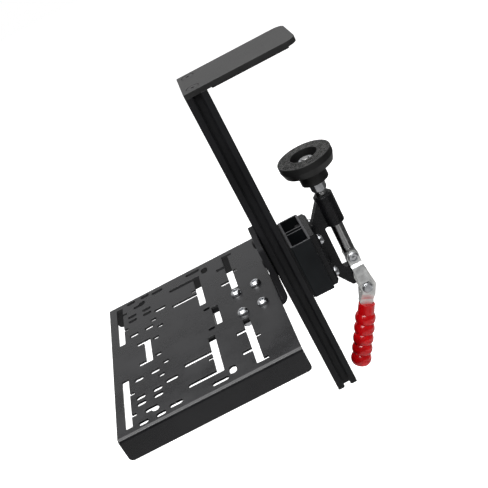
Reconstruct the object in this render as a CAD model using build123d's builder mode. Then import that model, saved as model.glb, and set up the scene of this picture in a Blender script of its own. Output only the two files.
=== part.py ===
from build123d import *
import math
import os

os.makedirs("parts", exist_ok=True)

# Desk-edge mount for a gear shifter: an upright of slotted extrusion hangs from
# a top arm that rests on the desk, a push-pull toggle clamp presses a rubber
# foot up from below, and a perforated plate on the other side carries the shifter.
# Frame: origin at the middle of the underside of the arm's rubber pad,
# +X from the upright towards the desk, +Y away from the user, +Z up.

# Sizes (mm)
# upright extrusion
upright_w = 20.0
upright_d = 60.0
upright_len = 327.0
slot_pitch = 20.0
slot_mouth = 9.2
slot_throat = 6.2
slot_lip = 1.9
slot_undercut = 11.0
slot_undercut_depth = 1.8
slot_floor = 5.7
slot_depth = 6.1
upright_bore_d = 5.0
cavity_w = 12.6
cavity_d = 4.6
upright_corner = 1.5

# top arm and pad
arm_len = 104.0
arm_t = 4.6
arm_corner = 10.0
pad_len = 71.4
pad_t = 1.2
pad_setback = 4.3
pad_margin = 0.3
pad_corner = 2.0
arm_screw_pitch = 40.0
arm_screw_len = 18.0
csk_head_d = 10.0
csk_angle = 90.0

# shifter plate
plate_w = 166.0
plate_d = 228.0
plate_t = 2.0
plate_flange = 23.0
plate_bend_r = 3.2
plate_corner = 4.0
plate_top_drop = 187.5
plate_offset_y = -33.5
plate_gap = 2.2

# bracket between plate and upright
bracket_t = 5.0
bracket_w = 54.0
bracket_rise = 52.0
bracket_reach = 88.0
bracket_inner_r = 3.0
bracket_corner = 4.5

# slot pattern of the plate, measured from the plate's middle
long_slot_w = 6.7
bolt_slot_w = 5.4
slot_round = 1.0
nub_len = 4.4
nub_w = 4.2
cut_margin = 0.5
side_row = 64.5
edge_slot_x = -71.8
edge_slot_in = 31.2
edge_slot_out = 104.2
edge_nub_rows = [57.0, 89.0]
grid_cols = [-58.6, -42.6]
grid_rows = [39.8, 68.2, 77.6, 105.5]
grid_slot_len = 9.4
hook_row = 92.0
hook_start = -56.6
hook_len = 12.4
hook_hole_d = 7.0
hook_hole_x = -46.6
hook_hole_row = 94.6
wide_col = -28.6
wide_rows = [64.5, 102.3]
wide_slot_len = 12.4
eyelets = [(-37.1, 15.0), (-37.1, 50.3), (-31.3, 33.0), (16.4, 18.8)]
eyelet_len = 6.6
eyelet_w = 4.6
mid_slot_x = 14.1
mid_slot_in = 30.8
mid_slot_out = 90.8
mid_arm_row = 55.5
mid_arm_len = 27.5
oval_x = 24.4
oval_row = 95.4
oval_len = 11.4
border_slot_x = 11.9
border_row = 102.8
border_slot_len = 15.5
tall_slot_x = 48.1
tall_slot_in = 31.0
tall_slot_out = 104.2
tall_arm_rows = [48.3, 81.0]
tall_arm_len = 8.6
tall_nub_rows = [64.8, 102.3]
claw_x = -46.4
claw_half = 20.5
claw_reach = 10.4
key_slot_x = 24.2
key_slot_len = 33.6

# more of the bracket
screw_pitch_x = 20.0
screw_pitch_y = 38.0
screw_inset = 15.2
bracket_bolt_pitch = 22.0
bracket_bolt_drop = 13.0

# screws, nuts and washers
m5_d = 5.0
m6_d = 6.0
m6_head_d = 10.8
m6_head_h = 3.6
m6_socket_af = 4.0
m6_nut_af = 10.0
m6_nut_h = 5.0
m5_head_d = 9.5
m5_head_h = 2.7
m5_socket_af = 3.0
screw_end_play = 2.0
screw_tip = 1.0
head_rim = 0.6
bolt_float = 0.4
t_nut_len = 11.0
t_nut_w = 9.6
t_nut_shoulder = 1.5
fit = 0.05
slide_gap = 0.2
side_gap = 0.2

# clamp block
block_gap = 1.2
block_w = 20.0
block_h = 57.0
block_wall = 2.0
block_web = 1.6
block_web_gap = 4.2
block_corner = 1.6
block_top_drop = 163.9
spacer_inset = 1.0

# toggle clamp body
base_t = 7.0
base_w = 50.0
base_h = 57.0
base_bevel = 2.4
base_screw_y = 36.0
base_screw_z = 37.0
base_screw_drop = 1.0
axis_from_base = 21.6
barrel_d = 18.4
barrel_len = 32.0
barrel_rise = 21.0
spine_t = 8.4
spine_reach = 10.0
tail_boss_r = 7.5
tail_top_r = 4.0
tail_tip_r = 2.5
tail_tip_reach = 9.0
gusset_drop = 2.4
window_len = 46.0
window_round = 1.6
spine_root = 1.0
gusset_set = 2.0
tail_rise = 14.0
tail_root = 6.0
tail_top_reach = 5.5
barrel_chamfer = 1.5

# linkage
crank_r = 14.5
link_len = 37.0
pin_d = 6.0
rivet_head_d = 10.4
rivet_head_h = 1.7
fork_t = 3.0
fork_gap = 0.2
link_t = 2.5
link_joggle = 2.5
link_half_w = 6.0
handle_lean = 28.0
joggle_low = 6.2
joggle_high = 8.6
pin_head_d = 9.0
head_edge = 0.5
head_seat = 0.1
link_pin_drop = 28.0
lever_top_r = 7.3
lever_pin_r = 6.6
lever_corner_r = 3.2
lever_corner_x = 6.2
lever_corner_z = 0.8
lever_w = 13.5
lever_shift = 3.0
lever_end = 19.0
lever_edge = 1.0
lever_reach = 30.0
fork_crotch = 8.0
fork_merge = 11.5
fork_shoulder = 9.0
fork_taper = 16.0
tang_t = 6.4
tang_w = 11.0

# plunger and foot
rod_d = 12.0
stud_d = 8.0
cross_r = 6.5
rod_shoulder_rise = 4.0
stud_show = 1.0
rod_chamfer = 0.6
nut_af = 13.0
jam_nut_h = 11.0
top_nut_h = 5.2
foot_d = 51.8
foot_t = 13.0
foot_recess_d = 26.5
foot_recess_h = 9.5
neck_d = 26.6
neck_h = 14.0
foot_round = 2.5
foot_edge = 1.0
recess_draft = 0.8
foot_draft = 2.2

# grip
grip_start = 21.5
grip_shift = 4.1
grip_collar_d = 16.2
grip_bulge_d = 20.6
grip_waist_d = 16.6
grip_bulges = 5
grip_bulge_pitch = 11.4
grip_collar_len = 10.4
grip_tip = 2.6
grip_rim = 0.4
tang_len = 50.0

# Derived places
upright_right = -(pad_len / 2 + pad_setback)
upright_x = upright_right - upright_w / 2
upright_left = upright_right - upright_w
upright_top = pad_t
arm_left = upright_left

plate_top = -plate_top_drop
plate_bottom = plate_top - plate_t
bracket_left = upright_left - slide_gap - bracket_t
plate_right = bracket_left - plate_gap
plate_x = plate_right - plate_w / 2
leg_bottom = plate_bottom - bracket_t
bracket_top = plate_top + bracket_rise
screw_x = plate_right - screw_inset - screw_pitch_x / 2
bracket_bolt_mid = bracket_top - bracket_bolt_drop - bracket_bolt_pitch / 2

block_left = upright_right + block_gap
block_x = block_left + block_w / 2
block_right = block_left + block_w
block_top = -block_top_drop
block_z = block_top - block_h / 2
cell_d = (upright_d - 2 * block_wall - 2 * block_web - block_web_gap) / 2
cell_y = block_web_gap / 2 + block_web + cell_d / 2

base_right = block_right + base_t
axis_x = base_right + axis_from_base
barrel_top = block_top + barrel_rise
barrel_bottom = barrel_top - barrel_len
spine_right = base_right + spine_reach
window_bottom = barrel_bottom - window_len
tail_root_z = window_bottom - tail_root
tail_top_z = window_bottom - tail_top_r
tail_tip_x = axis_x - tail_tip_reach
link_pin_z = block_top - block_h - link_pin_drop
pivot_z = link_pin_z + crank_r
rod_pin_z = link_pin_z + link_len
fork_in = spine_t / 2 + fork_gap
fork_out = fork_in + fork_t
link_in = fork_out + side_gap
link_out = link_in + link_t

rod_shoulder = barrel_top + rod_shoulder_rise
neck_bottom = rod_shoulder + jam_nut_h
foot_bottom = neck_bottom + neck_h
foot_top = foot_bottom + foot_t
recess_floor = foot_top - foot_recess_h
stud_end = recess_floor + top_nut_h + stud_show

lean = math.radians(handle_lean)
lean_x = -math.sin(lean)
lean_z = -math.cos(lean)
slot_rows = [-slot_pitch, 0, slot_pitch]


def slot_outline():
    """One V-mouthed T slot, opening towards +Y with its mouth on y = 0."""
    with BuildSketch() as s:
        with BuildLine():
            Polyline(
                (-slot_mouth / 2, 0.01),
                (-slot_throat / 2, -(slot_mouth - slot_throat) / 2),
                (-slot_throat / 2, -slot_lip),
                (-slot_undercut / 2, -slot_lip),
                (-slot_undercut / 2, -slot_lip - slot_undercut_depth),
                (-slot_floor / 2, -slot_depth),
                (slot_floor / 2, -slot_depth),
                (slot_undercut / 2, -slot_lip - slot_undercut_depth),
                (slot_undercut / 2, -slot_lip),
                (slot_throat / 2, -slot_lip),
                (slot_throat / 2, -(slot_mouth - slot_throat) / 2),
                (slot_mouth / 2, 0.01),
                close=True,
            )
        make_face()
    return s.sketch


# Upright
slot = slot_outline()
with BuildPart() as upright:
    with BuildSketch(Plane.XY.offset(upright_top)):
        with Locations((upright_x, 0)):
            RectangleRounded(upright_w, upright_d, upright_corner)
            with Locations([(0, y) for y in slot_rows]):
                Circle(upright_bore_d / 2, mode=Mode.SUBTRACT)
            with GridLocations(0, slot_pitch, 1, 2):
                Rectangle(cavity_w, cavity_d, mode=Mode.SUBTRACT)
        with Locations((upright_x, upright_d / 2)):
            add(slot, mode=Mode.SUBTRACT)
        with Locations(Location((upright_x, -upright_d / 2), 180)):
            add(slot, mode=Mode.SUBTRACT)
        with Locations([Location((upright_right, y), -90) for y in slot_rows]):
            add(slot, mode=Mode.SUBTRACT)
        with Locations([Location((upright_left, y), 90) for y in slot_rows]):
            add(slot, mode=Mode.SUBTRACT)
    extrude(amount=-upright_len)
upright.part.label = "upright"
export_step(upright.part, "parts/upright.step")

# Top arm and pad
with BuildPart() as top_arm:
    with BuildSketch(Plane.XY.offset(pad_t)):
        with Locations((arm_left, 0)):
            Rectangle(arm_len, upright_d, align=(Align.MIN, Align.CENTER))
    extrude(amount=arm_t)
    fillet(top_arm.edges().filter_by(Axis.Z).group_by(Axis.X)[-1], arm_corner)
    fillet(top_arm.edges().filter_by(Axis.Z).group_by(Axis.X)[0], 1.5)
    with Locations(Plane.XY.offset(pad_t + arm_t)):
        with Locations((upright_x, 0)):
            with GridLocations(0, arm_screw_pitch, 1, 2):
                CounterSinkHole(m5_d / 2 + 2 * fit, csk_head_d / 2, counter_sink_angle=csk_angle)
top_arm.part.label = "top_arm"
export_step(top_arm.part, "parts/top_arm.step")

with BuildPart() as arm_pad:
    with BuildSketch(Plane.XY):
        RectangleRounded(pad_len, upright_d - 2 * pad_margin, pad_corner)
    extrude(amount=pad_t)
arm_pad.part.label = "arm_pad"
export_step(arm_pad.part, "parts/arm_pad.step")

csk_h = (csk_head_d - m5_d) / 2 / math.tan(math.radians(csk_angle / 2))
for screw_name, side in (("arm_screw_front", -1), ("arm_screw_back", 1)):
    with BuildPart() as arm_screw:
        with BuildSketch(Plane.XZ) as csk_profile:
            with BuildLine():
                Polyline(
                    (0, 0),
                    (csk_head_d / 2, 0),
                    (m5_d / 2 - fit, -csk_h - fit),
                    (m5_d / 2 - fit, -arm_screw_len + 0.8),
                    (m5_d / 2 - fit - 0.8, -arm_screw_len),
                    (0, -arm_screw_len),
                    close=True,
                )
            make_face()
        revolve(axis=Axis.Z)
        with BuildSketch(Plane.XY):
            RegularPolygon(m5_socket_af / 2, 6, major_radius=False)
        extrude(amount=-2.2, mode=Mode.SUBTRACT)
    place = Location((upright_x, side * arm_screw_pitch / 2, pad_t + arm_t))
    arm_screw.part.label = screw_name
    export_step(arm_screw.part.moved(place), "parts/" + screw_name + ".step")


# Shared fasteners
def button_screw(d, head_d, head_h, socket_af, length):
    """Button-head screw: head above z = 0, shank below it."""
    with BuildPart() as p:
        with BuildSketch(Plane.XZ):
            with BuildLine():
                top = Line((0, head_h), (head_d * 0.28, head_h))
                rim = Line((head_d / 2, head_rim), (head_d / 2, 0))
                ThreePointArc(top @ 1, (head_d * 0.44, head_h * 0.62), rim @ 0)
                Polyline(
                    rim @ 1,
                    (d / 2 - fit, 0),
                    (d / 2 - fit, -length + 0.7),
                    (d / 2 - fit - 0.7, -length),
                    (0, -length),
                    (0, head_h),
                )
            make_face()
        revolve(axis=Axis.Z)
        with BuildSketch(Plane.XY.offset(head_h)):
            RegularPolygon(socket_af / 2, 6, major_radius=False)
        extrude(amount=-head_h * 0.6, mode=Mode.SUBTRACT)
    return p.part


def hex_nut(af, height, hole_d):
    """Hexagon nut standing on z = 0, its faces chamfered at the corners."""
    with BuildPart() as p:
        with BuildSketch():
            RegularPolygon(af / 2, 6, major_radius=False)
        extrude(amount=height)
        with BuildSketch(Plane.XZ):
            with BuildLine():
                Polyline(
                    (0, 0),
                    (af * 0.48, 0),
                    (af * 0.58, height * 0.16),
                    (af * 0.58, height * 0.84),
                    (af * 0.48, height),
                    (0, height),
                    close=True,
                )
            make_face()
        revolve(axis=Axis.Z, mode=Mode.INTERSECT)
        with Locations((0, 0, height)):
            Hole(hole_d / 2 + fit)
    return p.part


def t_nut():
    """T-slot nut lying in a slot that opens towards +Z, with z = 0 at its mouth."""
    top = -slot_lip - slide_gap
    with BuildPart() as p:
        with BuildSketch(Plane.XZ.offset(-t_nut_len / 2)):
            with BuildLine():
                Polyline(
                    (-t_nut_w / 2, top),
                    (-t_nut_w / 2, top - t_nut_shoulder),
                    (-t_nut_w / 4, -slot_depth + bolt_float),
                    (t_nut_w / 4, -slot_depth + bolt_float),
                    (t_nut_w / 2, top - t_nut_shoulder),
                    (t_nut_w / 2, top),
                    close=True,
                )
            make_face()
        extrude(amount=t_nut_len)
        with Locations((0, 0, top)):
            Hole(m5_d / 2)
    return p.part


# Shifter plate
plate_axis = Plane((plate_x, plate_offset_y, plate_top))
with BuildPart() as shifter_plate:
    with BuildSketch(Plane.YZ.offset(plate_right - plate_w)):
        with Locations((plate_offset_y, plate_top - plate_flange / 2)):
            outer = Rectangle(plate_d, plate_flange)
            fillet(outer.vertices().group_by(Axis.Y)[-1], plate_bend_r)
        with BuildSketch(mode=Mode.SUBTRACT):
            with Locations((plate_offset_y, plate_top - plate_t - plate_flange / 2)):
                inner = Rectangle(plate_d - 2 * plate_t, plate_flange)
                fillet(inner.vertices().group_by(Axis.Y)[-1], plate_bend_r - plate_t)
    extrude(amount=plate_w)
    fillet(shifter_plate.edges().filter_by(Axis.Y).group_by(Axis.Z)[0], plate_corner)
    # slot pattern, drawn for the back half and mirrored to the front half
    with BuildSketch(plate_axis):
        with Locations((edge_slot_x, (edge_slot_in + edge_slot_out) / 2)):
            RectangleRounded(long_slot_w, edge_slot_out - edge_slot_in, slot_round)
        with Locations([(edge_slot_x + long_slot_w / 2, y) for y in edge_nub_rows]):
            Rectangle(nub_len, nub_w, align=(Align.MIN, Align.CENTER))
        with Locations([(x, y) for x in grid_cols for y in grid_rows]):
            SlotOverall(grid_slot_len, bolt_slot_w)
        with Locations((hook_start, hook_row)):
            SlotOverall(hook_len, bolt_slot_w, align=(Align.MIN, Align.CENTER))
        with Locations((hook_hole_x, hook_hole_row)):
            Circle(hook_hole_d / 2)
        with Locations([(wide_col, y) for y in wide_rows]):
            SlotOverall(wide_slot_len, bolt_slot_w)
        with Locations([(x, y) for x, y in eyelets]):
            SlotOverall(eyelet_len, eyelet_w)
        with Locations((mid_slot_x, (mid_slot_in + mid_slot_out) / 2)):
            RectangleRounded(long_slot_w, mid_slot_out - mid_slot_in, slot_round)
        with Locations((mid_slot_x, mid_slot_out - bolt_slot_w / 2), (mid_slot_x, mid_arm_row)):
            Rectangle(mid_arm_len, bolt_slot_w, align=(Align.MAX, Align.CENTER))
        with Locations((mid_slot_x - mid_arm_len, mid_slot_out - bolt_slot_w / 2),
                       (mid_slot_x - mid_arm_len, mid_arm_row)):
            Circle(bolt_slot_w / 2)
        with Locations((mid_slot_x, side_row)):
            Rectangle(long_slot_w / 2 + nub_len, nub_w, align=(Align.MAX, Align.CENTER))
        with Locations((oval_x, oval_row)):
            SlotOverall(oval_len, long_slot_w, rotation=90)
        with Locations((border_slot_x, border_row)):
            SlotOverall(border_slot_len, bolt_slot_w)
        with Locations((tall_slot_x, (tall_slot_in + tall_slot_out) / 2)):
            RectangleRounded(long_slot_w, tall_slot_out - tall_slot_in, slot_round)
        with Locations([(tall_slot_x, y) for y in tall_arm_rows]):
            Rectangle(long_slot_w / 2 + tall_arm_len, bolt_slot_w, align=(Align.MAX, Align.CENTER))
        with Locations([(tall_slot_x, y) for y in tall_nub_rows]):
            Rectangle(long_slot_w / 2 + nub_len, nub_w, align=(Align.MIN, Align.CENTER))
        with Locations((claw_x, claw_half - bolt_slot_w / 2)):
            Rectangle(claw_reach, bolt_slot_w, align=(Align.MAX, Align.CENTER))
        mirror(about=Plane.XZ)
        with Locations((claw_x, 0)):
            RectangleRounded(long_slot_w, 2 * claw_half, slot_round)
        with Locations((key_slot_x, 0)):
            RectangleRounded(long_slot_w, key_slot_len, slot_round)
    extrude(amount=-plate_t - cut_margin, mode=Mode.SUBTRACT)
    with Locations(Plane((screw_x, plate_offset_y, plate_top))):
        with GridLocations(screw_pitch_x, screw_pitch_y, 2, 2):
            Hole(m6_d / 2 + 4 * fit, depth=plate_t + cut_margin)
shifter_plate.part.label = "shifter_plate"
export_step(shifter_plate.part, "parts/shifter_plate.step")

# Plate bracket
bracket_x = bracket_left + bracket_t
bracket_bolt_plane = Plane(
    (bracket_left, -slot_pitch, bracket_bolt_mid), x_dir=(0, 1, 0), z_dir=(-1, 0, 0)
)
with BuildPart() as plate_bracket:
    with BuildSketch(Plane.XZ.offset(-plate_offset_y)):
        with BuildLine():
            Polyline(
                (bracket_x, bracket_top),
                (bracket_left, bracket_top),
                (bracket_left, plate_bottom),
                (bracket_x - bracket_reach, plate_bottom),
                (bracket_x - bracket_reach, leg_bottom),
                (bracket_x, leg_bottom),
                close=True,
            )
        section = make_face()
        bend = section.vertices().sort_by_distance((bracket_x, leg_bottom))
        fillet(bend[0], bracket_inner_r + bracket_t)
        crook = section.vertices().sort_by_distance((bracket_left, plate_bottom))
        fillet(crook[0], bracket_inner_r)
    extrude(amount=bracket_w / 2, both=True)
    fillet(plate_bracket.edges().filter_by(Axis.X).group_by(Axis.Z)[-1], bracket_corner)
    fillet(plate_bracket.edges().filter_by(Axis.Z).group_by(Axis.X)[0], bracket_corner)
    with Locations(Plane((screw_x, plate_offset_y, plate_bottom))):
        with GridLocations(screw_pitch_x, screw_pitch_y, 2, 2):
            Hole(m6_d / 2 + 4 * fit)
    with BuildSketch(Plane((plate_x + key_slot_x, plate_offset_y, plate_bottom))):
        RectangleRounded(long_slot_w, key_slot_len, slot_round)
    extrude(amount=-bracket_t, mode=Mode.SUBTRACT)
    with Locations(bracket_bolt_plane):
        with GridLocations(0, bracket_bolt_pitch, 1, 2):
            Hole(m5_d / 2 + 5 * fit, depth=bracket_t)
plate_bracket.part.label = "plate_bracket"
export_step(plate_bracket.part, "parts/plate_bracket.step")

clamp_stack = plate_t + bracket_t
plate_screw_len = clamp_stack + m6_nut_h + screw_end_play
m6_plate_screw = button_screw(m6_d, m6_head_d, m6_head_h, m6_socket_af, plate_screw_len)
with BuildPart() as plate_screws:
    with Locations(Plane((screw_x, plate_offset_y, plate_top))):
        with GridLocations(screw_pitch_x, screw_pitch_y, 2, 2):
            add(m6_plate_screw)
plate_screws.part.label = "plate_screws"
export_step(plate_screws.part, "parts/plate_screws.step")

m6_nut = hex_nut(m6_nut_af, m6_nut_h, m6_d)
with BuildPart() as plate_nuts:
    with Locations(Plane((screw_x, plate_offset_y, leg_bottom - m6_nut_h))):
        with GridLocations(screw_pitch_x, screw_pitch_y, 2, 2):
            add(m6_nut)
plate_nuts.part.label = "plate_nuts"
export_step(plate_nuts.part, "parts/plate_nuts.step")

bracket_bolt_len = bracket_t + slide_gap + slot_depth - bolt_float
bracket_bolt = button_screw(m5_d, m5_head_d, m5_head_h, m5_socket_af, bracket_bolt_len)
with BuildPart() as bracket_bolts:
    with Locations(bracket_bolt_plane):
        with GridLocations(0, bracket_bolt_pitch, 1, 2):
            add(bracket_bolt)
bracket_bolts.part.label = "bracket_bolts"
export_step(bracket_bolts.part, "parts/bracket_bolts.step")

slot_nut = t_nut()
left_slot_plane = Plane((upright_left, -slot_pitch, bracket_bolt_mid), x_dir=(0, 1, 0), z_dir=(-1, 0, 0))
with BuildPart() as bracket_t_nuts:
    with Locations(left_slot_plane):
        with GridLocations(0, bracket_bolt_pitch, 1, 2):
            add(slot_nut)
bracket_t_nuts.part.label = "bracket_t_nuts"
export_step(bracket_t_nuts.part, "parts/bracket_t_nuts.step")

# Clamp block
right_slot_plane = Plane((upright_right, 0, block_z), x_dir=(0, 1, 0), z_dir=(1, 0, 0))
block_wall_plane = Plane((block_left + block_wall, 0, block_z), x_dir=(0, 1, 0), z_dir=(1, 0, 0))
base_face_plane = Plane((base_right, 0, block_z - base_screw_drop), x_dir=(0, 1, 0), z_dir=(1, 0, 0))
block_skin_plane = Plane((block_right, 0, block_z), x_dir=(0, 1, 0), z_dir=(1, 0, 0))
with BuildPart() as clamp_block:
    with BuildSketch(Plane.XY.offset(block_top)):
        with Locations((block_x, 0)):
            RectangleRounded(block_w, upright_d, block_corner)
            with GridLocations(0, 2 * cell_y, 1, 2):
                Rectangle(block_w - 2 * block_wall, cell_d, mode=Mode.SUBTRACT)
            Rectangle(block_w - 2 * block_wall, block_web_gap, mode=Mode.SUBTRACT)
    extrude(amount=-block_h)
    with Locations(block_wall_plane):
        with GridLocations(2 * slot_pitch, 0, 2, 1):
            Hole(m5_d / 2 + 3 * fit, depth=block_wall)
    with Locations(base_face_plane.offset(-base_t)):
        with GridLocations(base_screw_y, base_screw_z, 2, 2):
            Hole(m6_d / 2 + 3 * fit, depth=block_wall)
clamp_block.part.label = "clamp_block"
export_step(clamp_block.part, "parts/clamp_block.step")

with BuildPart() as block_spacer:
    with BuildSketch(Plane.XY.offset(block_top)):
        with Locations((upright_right + slide_gap, 0)):
            Rectangle(block_gap - slide_gap, upright_d - 2 * spacer_inset, align=(Align.MIN, Align.CENTER))
    extrude(amount=-block_h)
    with Locations(Plane((block_left, 0, block_z), x_dir=(0, 1, 0), z_dir=(1, 0, 0))):
        with GridLocations(2 * slot_pitch, 0, 2, 1):
            Hole(m5_d / 2 + 3 * fit, depth=block_gap)
block_spacer.part.label = "block_spacer"
export_step(block_spacer.part, "parts/block_spacer.step")

block_bolt_len = block_wall + block_gap + slot_depth - bolt_float
block_bolt = button_screw(m5_d, m5_head_d, m5_head_h, m5_socket_af, block_bolt_len)
with BuildPart() as block_bolts:
    with Locations(block_wall_plane):
        with GridLocations(2 * slot_pitch, 0, 2, 1):
            add(block_bolt)
block_bolts.part.label = "block_bolts"
export_step(block_bolts.part, "parts/block_bolts.step")

with BuildPart() as block_t_nuts:
    with Locations(right_slot_plane):
        with GridLocations(2 * slot_pitch, 0, 2, 1):
            add(slot_nut)
block_t_nuts.part.label = "block_t_nuts"
export_step(block_t_nuts.part, "parts/block_t_nuts.step")

# Toggle clamp body
spine_mid = (base_right + spine_right) / 2
# outline of the tail with the pivot boss
with BuildSketch() as tail:
    with Locations((axis_x, pivot_z)):
        Circle(tail_boss_r)
    with Locations((spine_mid, tail_top_z), (axis_x - tail_top_reach, tail_top_z)):
        Circle(tail_top_r)
    with Locations((tail_tip_x, pivot_z - tail_boss_r + tail_tip_r)):
        Circle(tail_tip_r)
    make_hull()
with BuildPart() as clamp_body:
    with BuildSketch(block_skin_plane):
        Rectangle(base_w, base_h)
    extrude(amount=base_t)
    chamfer(clamp_body.faces().sort_by(Axis.X)[-1].edges(), base_bevel)
    # spine with the gusset that runs up to the barrel, and the tail below it
    with BuildSketch(Plane.XZ) as clamp_side:
        with BuildLine():
            Polyline(
                (base_right - spine_root, block_top - gusset_drop),
                (base_right, block_top - gusset_drop),
                (axis_x - barrel_d / 2 + gusset_set, barrel_top - 2 * barrel_chamfer),
                (axis_x, barrel_top - 2 * barrel_chamfer),
                (axis_x, barrel_bottom),
                (spine_right, barrel_bottom),
                (spine_right, tail_top_z),
                (spine_mid, tail_root_z),
                (base_right - spine_root, tail_root_z + tail_rise),
                close=True,
            )
        make_face()
        add(tail.sketch)
        for corner in ((spine_right, barrel_bottom), (spine_right, window_bottom)):
            fillet(clamp_side.vertices().sort_by_distance(corner)[0], window_round)
    extrude(amount=spine_t / 2, both=True)
    # barrel that guides the plunger
    with BuildSketch(Plane.XZ):
        with BuildLine():
            Polyline(
                (axis_x, barrel_bottom),
                (axis_x + barrel_d / 2, barrel_bottom),
                (axis_x + barrel_d / 2, barrel_top - barrel_chamfer),
                (axis_x + barrel_d / 2 - barrel_chamfer, barrel_top),
                (axis_x, barrel_top),
                close=True,
            )
        make_face()
    revolve(axis=Axis((axis_x, 0, 0), (0, 0, 1)))
    with Locations((axis_x, 0, barrel_top)):
        Hole(rod_d / 2 + fit, depth=barrel_len)
    with Locations(Plane((axis_x, 0, pivot_z), z_dir=(0, -1, 0))):
        Hole(pin_d / 2 + fit / 2)
    with Locations(base_face_plane):
        with GridLocations(base_screw_y, base_screw_z, 2, 2):
            Hole(m6_d / 2 + 3 * fit, depth=base_t)
clamp_body.part.label = "clamp_body"
export_step(clamp_body.part, "parts/clamp_body.step")

base_screw_len = base_t + block_wall + m6_nut_h + screw_tip
base_screw = button_screw(m6_d, m6_head_d, m6_head_h, m6_socket_af, base_screw_len)
with BuildPart() as base_screws:
    with Locations(base_face_plane):
        with GridLocations(base_screw_y, base_screw_z, 2, 2):
            add(base_screw)
base_screws.part.label = "base_screws"
export_step(base_screws.part, "parts/base_screws.step")

with BuildPart() as base_nuts:
    with Locations(base_face_plane.offset(-base_t - block_wall - m6_nut_h)):
        with GridLocations(base_screw_y, base_screw_z, 2, 2):
            add(m6_nut)
base_nuts.part.label = "base_nuts"
export_step(base_nuts.part, "parts/base_nuts.step")


# Rivets
def rivet(x, z, half_len, head_d):
    """Pin across the linkage with a domed head on each end."""
    with BuildPart() as p:
        with BuildSketch(Plane.XY):
            with BuildLine():
                stem = Polyline(
                    (0, 0),
                    (pin_d / 2, 0),
                    (pin_d / 2, half_len),
                    (head_d / 2, half_len),
                    (head_d / 2, half_len + head_edge),
                )
                crown = (head_d * 0.2, half_len + rivet_head_h)
                ThreePointArc(stem @ 1, (head_d * 0.42, half_len + rivet_head_h * 0.72), crown)
                Polyline(crown, (0, half_len + rivet_head_h), (0, 0))
            make_face()
        revolve(axis=Axis.Y)
        mirror(about=Plane.XZ)
    return p.part.moved(Location((x, 0, z)))


with BuildPart() as fixed_pin:
    add(rivet(axis_x, pivot_z, fork_out + head_seat, pin_head_d))
fixed_pin.part.label = "fixed_pin"
export_step(fixed_pin.part, "parts/fixed_pin.step")

with BuildPart() as link_pin:
    add(rivet(axis_x, link_pin_z, link_out + head_seat, rivet_head_d))
link_pin.part.label = "link_pin"
export_step(link_pin.part, "parts/link_pin.step")

# Link plates
# each plate is stepped outwards between its ends, to pass over the fixed pin's head
with BuildPart() as link_plates:
    with BuildSketch(Plane.YZ.offset(axis_x - link_half_w)):
        with BuildLine():
            Polyline(
                (link_in, link_pin_z - link_half_w),
                (link_in, link_pin_z + joggle_low),
                (link_in + link_joggle, link_pin_z + joggle_low + link_joggle),
                (link_in + link_joggle, rod_pin_z - joggle_high - link_joggle),
                (link_in, rod_pin_z - joggle_high),
                (link_in, rod_pin_z + link_half_w),
                (link_out, rod_pin_z + link_half_w),
                (link_out, rod_pin_z - joggle_high + link_t * 0.4),
                (link_out + link_joggle, rod_pin_z - joggle_high - link_joggle + link_t * 0.4),
                (link_out + link_joggle, link_pin_z + joggle_low + link_joggle - link_t * 0.4),
                (link_out, link_pin_z + joggle_low - link_t * 0.4),
                (link_out, link_pin_z - link_half_w),
                close=True,
            )
        make_face()
    extrude(amount=2 * link_half_w)
    with BuildSketch(Plane.XZ):
        with Locations((axis_x, (link_pin_z + rod_pin_z) / 2)):
            SlotCenterToCenter(link_len, 2 * link_half_w, rotation=90)
    extrude(amount=link_out + link_joggle + 1, both=True, mode=Mode.INTERSECT)
    with Locations(Plane((axis_x, 0, link_pin_z), z_dir=(0, 1, 0))):
        Hole(pin_d / 2 + fit)
    with Locations(Plane((axis_x, 0, rod_pin_z), z_dir=(0, 1, 0))):
        Hole(pin_d / 2 + fit)
    mirror(about=Plane.XZ)
link_plates.part.label = "link_plates"
export_step(link_plates.part, "parts/link_plates.step")

# the upper rivets hold the link plates to the plunger's cross boss
with BuildPart() as link_rivets:
    with BuildSketch(Plane((axis_x, 0, rod_pin_z), z_dir=(0, 0, 1))):
        with BuildLine():
            shank = Polyline(
                (0, link_in),
                (pin_d / 2, link_in),
                (pin_d / 2, link_out + head_seat),
                (rivet_head_d / 2, link_out + head_seat),
                (rivet_head_d / 2, link_out + head_edge),
            )
            crown_top = (rivet_head_d * 0.2, link_out + rivet_head_h)
            ThreePointArc(shank @ 1, (rivet_head_d * 0.42, link_out + rivet_head_h * 0.75), crown_top)
            Polyline(crown_top, (0, link_out + rivet_head_h), (0, link_in))
        make_face()
    revolve(axis=Axis((axis_x, 0, rod_pin_z), (0, 1, 0)))
    mirror(about=Plane.XZ)
link_rivets.part.label = "link_rivets"
export_step(link_rivets.part, "parts/link_rivets.step")

# Plunger rod
with BuildPart() as plunger_rod:
    with BuildSketch(Plane.XZ):
        with BuildLine():
            Polyline(
                (axis_x, rod_pin_z),
                (axis_x + rod_d / 2, rod_pin_z),
                (axis_x + rod_d / 2, rod_shoulder - rod_chamfer),
                (axis_x + rod_d / 2 - rod_chamfer, rod_shoulder),
                (axis_x + stud_d / 2, rod_shoulder),
                (axis_x + stud_d / 2, stud_end - rod_chamfer),
                (axis_x + stud_d / 2 - rod_chamfer, stud_end),
                (axis_x, stud_end),
                close=True,
            )
        make_face()
    revolve(axis=Axis((axis_x, 0, 0), (0, 0, 1)))
    with BuildSketch(Plane.XZ):
        with Locations((axis_x, rod_pin_z)):
            Circle(cross_r)
    extrude(amount=fork_out, both=True)
plunger_rod.part.label = "plunger_rod"
export_step(plunger_rod.part, "parts/plunger_rod.step")

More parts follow.
